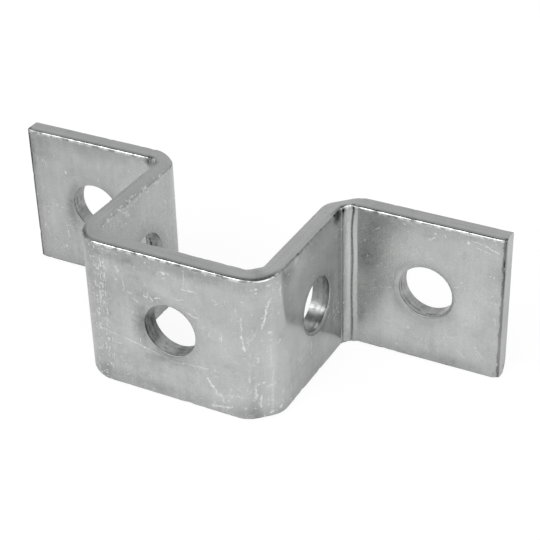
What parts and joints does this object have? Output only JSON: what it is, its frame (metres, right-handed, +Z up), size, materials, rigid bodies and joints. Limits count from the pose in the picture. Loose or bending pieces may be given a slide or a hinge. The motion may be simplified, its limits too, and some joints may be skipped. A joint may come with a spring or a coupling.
{
  "type": "u-shaped strut connector",
  "caption": "U-shaped connector bent from zinc-plated flat steel bar, with a bolt hole in its web, in each leg and in each outward flange, to hold square channel strut.",
  "frame": {"origin": "middle of the connector's length and depth, on the plane that it stands on", "axes": "+X along both flanges, +Y from the web towards the flanges, +Z up across the bar's width"},
  "size_m": [0.136, 0.0466, 0.0406],
  "materials": {
    "zinc_plated_steel": "satin zinc plate"
  },
  "bodies": {
    "root": {"strut_connector": "zinc_plated_steel"}
  },
  "joints": []
}
